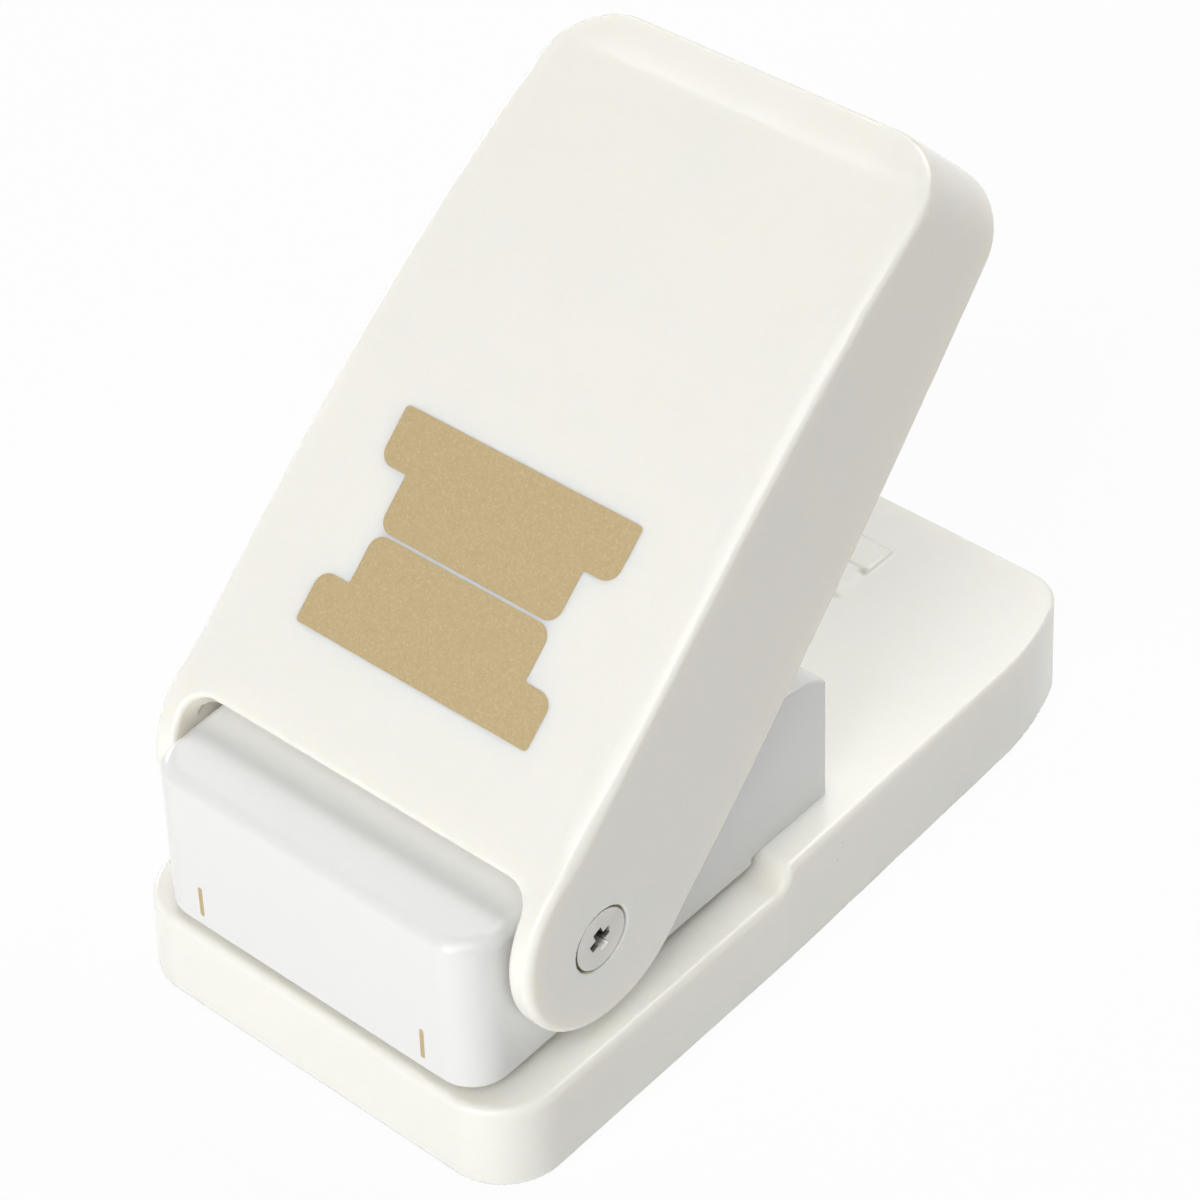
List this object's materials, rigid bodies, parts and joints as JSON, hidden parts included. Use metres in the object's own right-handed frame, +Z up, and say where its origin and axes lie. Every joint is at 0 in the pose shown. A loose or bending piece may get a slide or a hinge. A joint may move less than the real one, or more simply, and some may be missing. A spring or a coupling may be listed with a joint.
{
  "type": "index tab punch",
  "caption": "Desk punch for index tabs: a palm lever hinged on side screws drives a tab-shaped punch through a die under a paper slot, and springs lift it again.",
  "frame": {"origin": "under the middle of the base, on the surface that the feet stand on", "axes": "+Z up, +Y along the base from the paper slot to the lever's free end, +X to the right seen from the paper slot"},
  "size_m": [0.062, 0.114, 0.0968],
  "materials": {
    "ivory_plastic": "moulded, glossy ivory",
    "white_plastic": "moulded, glossy white",
    "cover_plastic": "fine matt",
    "foot_rubber": "matt",
    "tool_steel": "ground",
    "sheet_steel": "zinc plated sheet",
    "screw_steel": "nickel plated",
    "spring_steel": "drawn wire",
    "insert_brass": "turned"
  },
  "bodies": {
    "frame": {"base_shell": "ivory_plastic", "bottom_cover": "cover_plastic", "cover_screws": "screw_steel", "rubber_feet": "foot_rubber", "die_plate": "tool_steel", "slot_spacer": "tool_steel", "guide_plate": "tool_steel", "plate_screws": "screw_steel", "frame_screws": "screw_steel", "housing": "white_plastic", "guide_pins": "tool_steel", "pivot_inserts": "insert_brass", "pivot_screws": "screw_steel", "pivot_washers": "cover_plastic", "return_springs": "spring_steel"},
    "lever": {"lever_shell": "ivory_plastic", "press_bracket": "sheet_steel", "bracket_screws": "screw_steel", "press_pin": "tool_steel", "pin_rings": "sheet_steel"},
    "punch": {"punch_blade": "tool_steel", "punch_carrier": "sheet_steel", "punch_screws": "screw_steel", "press_pad": "tool_steel"}
  },
  "joints": [
    {"name": "lever_hinge", "type": "hinge", "parent": "frame", "child": "lever", "pos_m": [0, -0.0383, 0.02757], "axis": [-1, 0, 0], "range_deg": [0, 42], "stiffness_Nm_per_rad": 0.15, "springref_deg": -20.05},
    {"name": "punch_slide", "type": "slide", "parent": "frame", "child": "punch", "axis": [0, 0, -1], "range_m": [0, 0.00502], "deforming": ["return_springs"]}
  ],
  "couplings": [
    {"joint": "punch_slide", "follows": "lever_hinge", "m_per_rad": 0.0068443}
  ]
}
